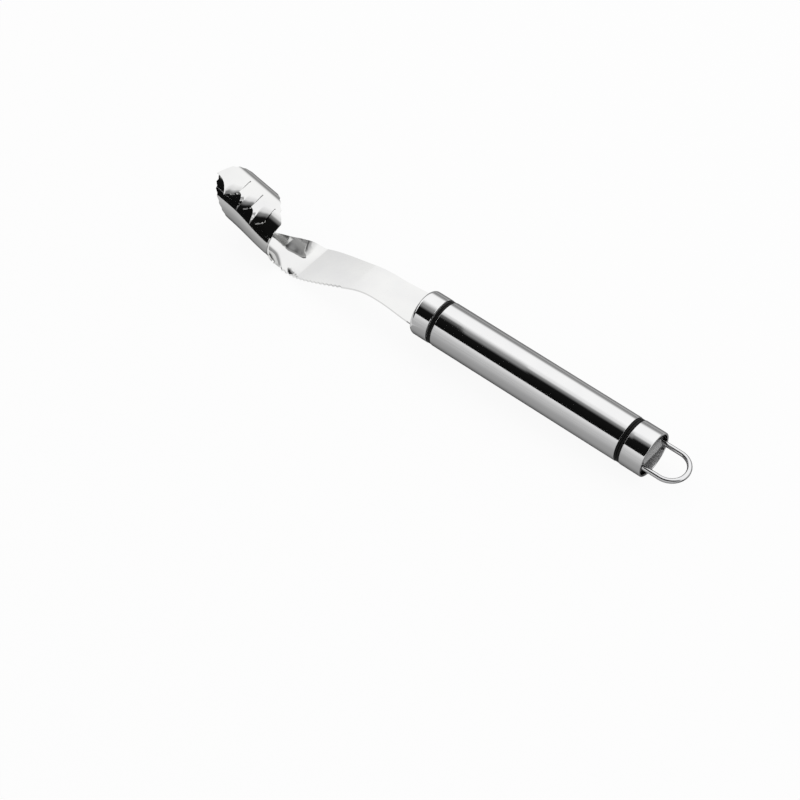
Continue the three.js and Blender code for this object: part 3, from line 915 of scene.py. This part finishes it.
def stage_piece(name, points, faces, material):
    mesh = bpy.data.meshes.new(name)
    mesh.from_pydata(points, [], faces)
    mesh.materials.append(material)
    piece = bpy.data.objects.new(name, mesh)
    bpy.context.scene.collection.objects.link(piece)
    return piece


def ray_share(nodes, links, camera, glossy):
    """A factor that differs between what the camera sees, what metal and glass show, and other light."""
    path = nodes.new("ShaderNodeLightPath")
    seen = nodes.new("ShaderNodeMath")
    seen.operation = "MULTIPLY"
    seen.inputs[1].default_value = camera
    links.new(path.outputs["Is Camera Ray"], seen.inputs[0])
    shown = nodes.new("ShaderNodeMath")
    shown.operation = "MAXIMUM"
    links.new(path.outputs["Is Glossy Ray"], shown.inputs[0])
    links.new(path.outputs["Is Transmission Ray"], shown.inputs[1])
    part = nodes.new("ShaderNodeMath")
    part.operation = "MULTIPLY_ADD"
    part.inputs[1].default_value = glossy
    links.new(shown.outputs[0], part.inputs[0])
    links.new(seen.outputs[0], part.inputs[2])
    return part.outputs[0]


def make_floor():
    material, nodes, links, bsdf = shader("studio_floor")
    bsdf.inputs["Base Color"].default_value = (0.86, 0.86, 0.86, 1)
    bsdf.inputs["Roughness"].default_value = 1.0
    bsdf.inputs["Specular IOR Level"].default_value = 0.0
    white = nodes.new("ShaderNodeEmission")
    white.inputs["Color"].default_value = (1, 1, 1, 1)
    blend = nodes.new("ShaderNodeMixShader")
    links.new(ray_share(nodes, links, camera=0.92, glossy=0.2), blend.inputs["Fac"])
    links.new(bsdf.outputs["BSDF"], blend.inputs[1])
    links.new(white.outputs["Emission"], blend.inputs[2])
    links.new(blend.outputs["Shader"], nodes["Material Output"].inputs["Surface"])
    wide = FLOOR_HALF_WIDTH
    corners = [(-wide, -wide, 0), (wide, -wide, 0), (wide, wide, 0), (-wide, wide, 0)]
    stage_piece("studio_floor", corners, [(0, 1, 2, 3)], material)


def make_card(name, rows, stops):
    """A glowing card that only the metal sees, of rows of two points. Stops: (share of rows, brightness)."""
    material, nodes, links, _ = shader(name)
    nodes.clear()
    steps = len(rows) - 1
    faces = [(2 * i, 2 * i + 1, 2 * i + 3, 2 * i + 2) for i in range(steps)]
    card = stage_piece(name, [point for row in rows for point in row], faces, material)
    layer = card.data.uv_layers.new(name="along")
    for loop in card.data.loops:
        layer.data[loop.index].uv = ((loop.vertex_index // 2) / steps, loop.vertex_index % 2)
    along = nodes.new("ShaderNodeUVMap")
    along.uv_map = "along"
    split = nodes.new("ShaderNodeSeparateXYZ")
    ramp = nodes.new("ShaderNodeValToRGB")
    ramp.color_ramp.interpolation = "EASE"
    while len(ramp.color_ramp.elements) < len(stops):
        ramp.color_ramp.elements.new(1.0)
    for element, (share, level) in zip(ramp.color_ramp.elements, stops):
        element.position = share
        element.color = (level, level, level, 1)
    glow = nodes.new("ShaderNodeEmission")
    output = nodes.new("ShaderNodeOutputMaterial")
    links.new(along.outputs["UV"], split.inputs["Vector"])
    links.new(split.outputs["X"], ramp.inputs["Fac"])
    links.new(ramp.outputs["Color"], glow.inputs["Color"])
    links.new(glow.outputs["Emission"], output.inputs["Surface"])
    card.visible_camera = False
    card.visible_diffuse = False
    card.visible_shadow = False
    card.visible_transmission = False
    card.visible_volume_scatter = False


def make_flag(name, radius, start, end, span, stops):
    """A curved card along the tool. Angles go up from -Y over the top, in degrees."""
    angles = [math.radians(mix(start, end, i / FLAG_STEPS)) for i in range(FLAG_STEPS + 1)]
    places = [(-radius * math.cos(a), FLAG_AXIS_Z + radius * math.sin(a)) for a in angles]
    make_card(name, [[(x, y, z) for x in span] for y, z in places], stops)


def make_painted_floor(name, span, stops):
    """Glowing sheets just above the floor that only the metal sees, with painted floor shadow and light:
    stops from the tool outwards to both sides.
    """
    for half, side in (("near", -1), ("far", 1)):
        places = [side * PAINTED_FLOOR_WIDTH * (i / PAINTED_FLOOR_STEPS) ** 2 for i in range(PAINTED_FLOOR_STEPS + 1)]
        make_card(f"{name}_{half}", [[(x, y, PAINTED_FLOOR_Z) for x in span] for y in places], stops)


def make_world():
    """White where it is seen or shown by the metal, and a little weaker as light."""
    world = bpy.data.worlds.new("studio")
    bpy.context.scene.world = world
    world.use_nodes = True
    nodes, links = world.node_tree.nodes, world.node_tree.links
    background = nodes["Background"]
    background.inputs["Color"].default_value = (1, 1, 1, 1)
    level = nodes.new("ShaderNodeMath")
    level.operation = "MULTIPLY_ADD"
    level.inputs[1].default_value = 1.0 - WORLD_LIGHT
    level.inputs[2].default_value = WORLD_LIGHT
    links.new(ray_share(nodes, links, camera=1.0, glossy=1.0), level.inputs[0])
    links.new(level.outputs[0], background.inputs["Strength"])


def make_softbox():
    lamp = bpy.data.lights.new("softbox", "AREA")
    lamp.shape = "RECTANGLE"
    lamp.size, lamp.size_y = 1.6, 1.0
    lamp.energy = 5.0
    softbox = bpy.data.objects.new("softbox", lamp)
    softbox.location = (0.1, 0.45, 1.0)
    softbox.rotation_euler = (math.radians(-24), 0, 0)
    softbox.visible_glossy = False
    bpy.context.scene.collection.objects.link(softbox)


def make_camera():
    """The camera at the photograph's place."""
    right = Vector((math.cos(CAMERA_TURN), math.sin(CAMERA_TURN), 0))
    level = math.cos(CAMERA_HEIGHT)
    back = Vector((math.sin(CAMERA_TURN) * level, -math.cos(CAMERA_TURN) * level, math.sin(CAMERA_HEIGHT)))
    above = back.cross(right)
    handle_front = PLACE @ Vector((0, 0, 0))
    offset = right * FRONT_IN_CAMERA.x + above * FRONT_IN_CAMERA.y + back * FRONT_IN_CAMERA.z
    lens = bpy.data.cameras.new("camera")
    lens.lens = LENS
    lens.sensor_width = SENSOR_WIDTH
    lens.clip_start, lens.clip_end = 0.01, 30
    camera = bpy.data.objects.new("camera", lens)
    turn = Matrix((right, above, back)).transposed().to_4x4()
    camera.matrix_world = Matrix.Translation(handle_front - offset * MM) @ turn
    bpy.context.scene.collection.objects.link(camera)
    bpy.context.scene.camera = camera


make_floor()

# The cards overhead, painted reflections of a dark band that fades into white glow: radius, first and last
# angle. Before STRIP_X lies what the strip's folded half shows, after HEAD_X what the head and its teeth
# show, and between them what the handle shows
OVERHEAD = (0.5, 26.5, 108)
STRIP_X = -0.25
HEAD_X = -0.125
DARK = (0.0, 0.004)
WHITE = (1.0, 1.0)
make_flag("flag_over", *OVERHEAD, (STRIP_X, HEAD_X), [DARK, (0.42, 0.006), (0.62, 0.25), WHITE])
make_flag("flag_teeth", *OVERHEAD, (HEAD_X, 2.0), [DARK, (0.5, 0.006), (0.66, 0.22), (0.8, 0.8), WHITE])
make_flag("flag_tube", *OVERHEAD, (-0.45, STRIP_X), [DARK, (0.52, 0.006), (0.7, 0.12), (0.85, 0.7), WHITE])

# Low cards, painted reflections in white, grey and near black: behind the tool, on the head's near side, on
# the handle's near side, and beyond the tip
make_flag("flag_back", 0.4, 152, 186, (-2.0, 2.0), [(0.0, 1.0), (0.15, 0.85), (0.42, 0.35), (1.0, 0.24)])
make_flag("flag_head", 0.16, 0, 28, (-0.7, -0.1), [DARK, (1.0, 0.004)])
make_flag("card_front", 0.3, -2.3, OVERHEAD[1], (-0.2, 2.0), [(0.0, 0.52), (1.0, 0.74)])
TIP_ROWS = [[(-0.5, y, z) for y in (-0.35, 0.07)] for z in (0.001, 0.2)]
make_card("flag_tip", TIP_ROWS, [(0.0, 0.01), (1.0, 0.01)])

# The floor's cards, glowing sheets that only the metal sees: painted shadow of the tool on the floor,
# darkest next to it, and under the neck a painted lighter patch with a band of painted shade. They part near
# both ends of the strip's cranked length
LOW_BEND_X = -0.072
NECK_END_X = -0.02
FLOOR_SHADOW_LEVELS = [(0.0, 0.05), (0.2, 0.34), (0.4, 0.48), (1.0, 0.6)]
NECK_LIGHT_AND_SHADE_LEVELS = [(0.0, 0.9), (0.2, 0.8), (0.3, 0.44), (1.0, 0.6)]
make_painted_floor("head_floor_shadow", (-1.0, LOW_BEND_X), FLOOR_SHADOW_LEVELS)
make_painted_floor("neck_floor_light_and_shade", (LOW_BEND_X, NECK_END_X), NECK_LIGHT_AND_SHADE_LEVELS)
make_painted_floor("handle_floor_shadow", (NECK_END_X, 1.0), FLOOR_SHADOW_LEVELS)

make_world()
make_softbox()
make_camera()
bpy.context.scene.view_settings.view_transform = "Standard"
